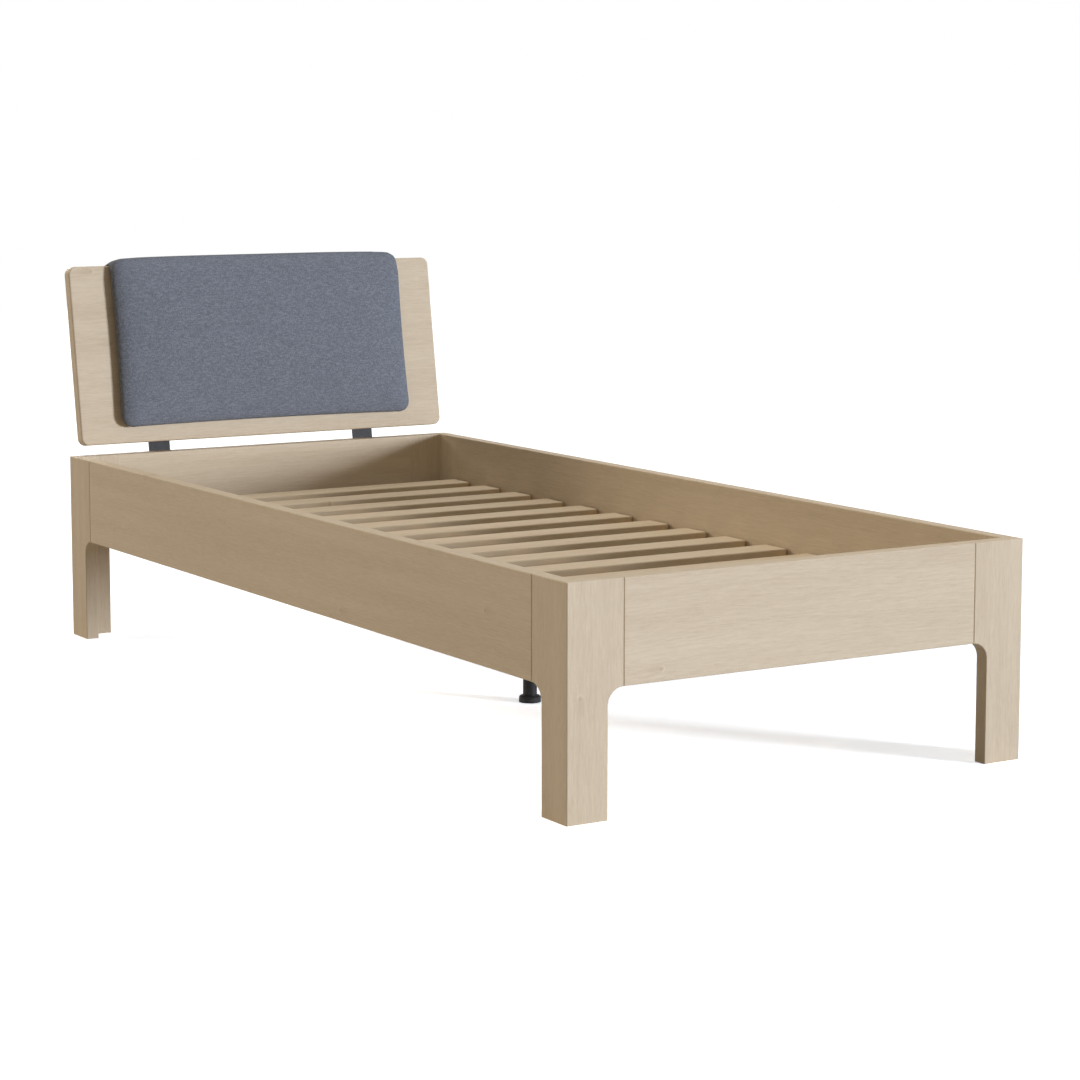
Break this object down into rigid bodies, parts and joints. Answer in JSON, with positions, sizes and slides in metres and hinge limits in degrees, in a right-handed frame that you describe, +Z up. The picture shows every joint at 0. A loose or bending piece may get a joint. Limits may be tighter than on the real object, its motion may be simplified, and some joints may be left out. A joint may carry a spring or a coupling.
{
  "type": "bed frame",
  "caption": "Pale wooden bed frame with mitred L-shaped legs, flush rails, a slatted base, a screw-adjusted centre leg and a leaning headboard with a hung cushion.",
  "frame": {"origin": "on the floor, at the middle of the bed's outline seen from above, headboard included", "axes": "+Z up, +Y from the foot end to the head end, +X to the right looking from foot to head"},
  "size_m": [0.96, 2.1742, 0.8416],
  "materials": {
    "oak": "pale whitened matt oil, fine grain",
    "slat_wood": "planed, untreated",
    "pine": "planed, untreated",
    "beech": "turned or planed, untreated",
    "black_steel": "fine powder coat",
    "black_bolt": "black oxide",
    "zinc_steel": "bright zinc plate",
    "black_plastic": "moulded, matt",
    "webbing": "flat woven tape",
    "cushion_fabric": "melange plain weave"
  },
  "bodies": {
    "frame": {"foot_left_leg_end_board": "oak", "foot_left_leg_side_board": "oak", "foot_right_leg_end_board": "oak", "foot_right_leg_side_board": "oak", "head_left_leg_end_board": "oak", "head_left_leg_side_board": "oak", "head_right_leg_end_board": "oak", "head_right_leg_side_board": "oak", "mitre_tongues": "beech", "rail_dowels": "beech", "left_side_rail": "oak", "right_side_rail": "oak", "foot_rail": "oak", "head_rail": "oak", "headboard_panel": "oak", "foot_left_bracket": "black_steel", "foot_right_bracket": "black_steel", "head_left_bracket": "black_steel", "head_right_bracket": "black_steel", "bracket_bolts": "black_bolt", "headboard_bolts": "black_bolt", "bracket_inserts": "zinc_steel", "headboard_inserts": "zinc_steel", "ledger_screws": "zinc_steel", "slat_screws": "zinc_steel", "hanger_screws": "zinc_steel", "foot_beam_hanger": "zinc_steel", "head_beam_hanger": "zinc_steel", "left_slat_ledger": "pine", "right_slat_ledger": "pine", "centre_beam": "pine", "slat_01": "slat_wood", "slat_02": "slat_wood", "slat_03": "slat_wood", "slat_04": "slat_wood", "slat_05": "slat_wood", "slat_06": "slat_wood", "slat_07": "slat_wood", "slat_08": "slat_wood", "slat_09": "slat_wood", "slat_10": "slat_wood", "slat_11": "slat_wood", "slat_12": "slat_wood", "slat_13": "slat_wood", "slat_14": "slat_wood", "left_slat_tape": "webbing", "right_slat_tape": "webbing", "centre_leg_plate": "black_steel", "centre_leg_sleeve": "black_steel", "left_headboard_upright": "black_steel", "right_headboard_upright": "black_steel", "centre_leg_screws": "zinc_steel"},
    "cushion": {"headboard_cushion": "cushion_fabric"},
    "leg_pad": {"centre_leg_pad": "black_plastic"},
    "centre_leg": {"centre_leg_tube": "black_steel", "centre_leg_stud": "zinc_steel"}
  },
  "joints": [
    {"name": "cushion_lift", "type": "slide", "parent": "frame", "child": "cushion", "axis": [0, 0.1564, 0.9877], "range_m": [0, 0.12]},
    {"name": "leg_pad_travel", "type": "slide", "parent": "frame", "child": "leg_pad", "axis": [0, 0, 1], "range_m": [0, 0.012]},
    {"name": "leg_turn", "type": "hinge", "parent": "leg_pad", "child": "centre_leg", "pos_m": [0, -0.1821, 0], "axis": [0, 0, 1], "range_deg": [0, 2160]}
  ],
  "couplings": [
    {"joint": "leg_turn", "follows": "leg_pad_travel", "rad_per_m": 3141.6}
  ]
}
